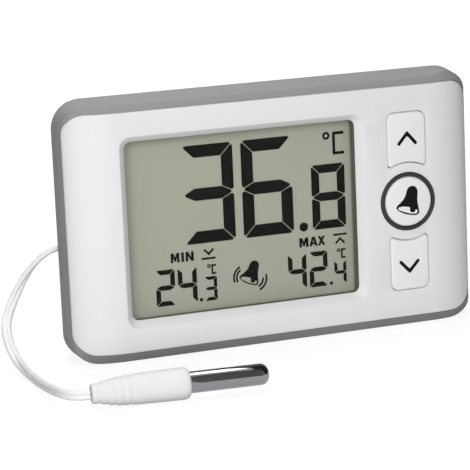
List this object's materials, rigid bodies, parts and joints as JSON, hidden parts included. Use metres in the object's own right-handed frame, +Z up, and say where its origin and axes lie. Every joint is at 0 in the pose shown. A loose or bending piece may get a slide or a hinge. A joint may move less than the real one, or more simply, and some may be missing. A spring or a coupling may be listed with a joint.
{
  "type": "digital probe thermometer",
  "caption": "Flat digital thermometer with a large display, alarm and arrow keys, a folding stand and a steel probe on a flat lead.",
  "frame": {"origin": "middle of the housing on the surface that it stands on, halfway through its depth, keys included", "axes": "+X to the right across the display, +Y from the display to the back, +Z up"},
  "size_m": [0.1315, 0.1037, 0.0686],
  "materials": {
    "white_plastic": "satin moulded",
    "grey_plastic": "fine matte texture",
    "dark_plastic": "satin",
    "black_plastic": "matte",
    "clear_plastic": "clear, polished",
    "black_rubber": "matte",
    "white_rubber": "satin moulded",
    "display_glass": "polarised, olive grey",
    "silver_foil": "diffuse reflective",
    "contact_rubber": "matte",
    "board_fibre": "lacquered fibre board",
    "zinc_steel": "zinc plated",
    "cell_wrap": "printed film over steel",
    "lead_jacket": "satin flat twin jacket",
    "tie_paper": "matte",
    "stainless_steel": "polished"
  },
  "bodies": {
    "housing": {"alarm_ring": "dark_plastic", "alarm_switch": "grey_plastic", "battery_cell": "cell_wrap", "battery_contact": "zinc_steel", "battery_spring": "zinc_steel", "board_screw_1": "zinc_steel", "board_screw_2": "zinc_steel", "buzzer": "dark_plastic", "case_screw_1": "zinc_steel", "case_screw_2": "zinc_steel", "case_screw_3": "zinc_steel", "case_screw_4": "zinc_steel", "circuit_board": "board_fibre", "coil_tie": "tie_paper", "contact_strip": "contact_rubber", "controller_chip": "black_plastic", "cord_grommet": "white_rubber", "display_frame": "black_plastic", "display_gasket": "black_rubber", "display_window": "clear_plastic", "down_switch": "grey_plastic", "front_cover": "white_plastic", "lcd_front_glass": "display_glass", "lcd_rear_glass": "display_glass", "lcd_reflector": "silver_foil", "lead_coil": "lead_jacket", "lead_exit": "lead_jacket", "lead_tail": "lead_jacket", "probe_boot": "white_rubber", "probe_tube": "stainless_steel", "quartz_crystal": "zinc_steel", "rear_housing": "grey_plastic", "sensor_lead": "lead_jacket", "thermistor": "black_plastic", "up_switch": "grey_plastic"},
    "up_key": {"up_key": "white_plastic", "up_plunger": "black_plastic"},
    "alarm_key": {"alarm_key": "white_plastic", "alarm_plunger": "black_plastic"},
    "down_key": {"down_key": "white_plastic", "down_plunger": "black_plastic"},
    "stand": {"stand": "grey_plastic"},
    "battery_door": {"battery_door": "grey_plastic"}
  },
  "joints": [
    {"name": "up_key_press", "type": "slide", "parent": "housing", "child": "up_key", "axis": [0, 1, 0], "range_m": [0, 0.0006], "stiffness_N_per_m": 200},
    {"name": "alarm_key_press", "type": "slide", "parent": "housing", "child": "alarm_key", "axis": [0, 1, 0], "range_m": [0, 0.0006], "stiffness_N_per_m": 200},
    {"name": "down_key_press", "type": "slide", "parent": "housing", "child": "down_key", "axis": [0, 1, 0], "range_m": [0, 0.0006], "stiffness_N_per_m": 200},
    {"name": "stand_hinge", "type": "hinge", "parent": "housing", "child": "stand", "pos_m": [0, 0.00985, 0.03505], "axis": [1, 0, 0], "range_deg": [0, 55]},
    {"name": "battery_door_lift", "type": "slide", "parent": "housing", "child": "battery_door", "axis": [0, 1, 0], "range_m": [0, 0.025]}
  ]
}
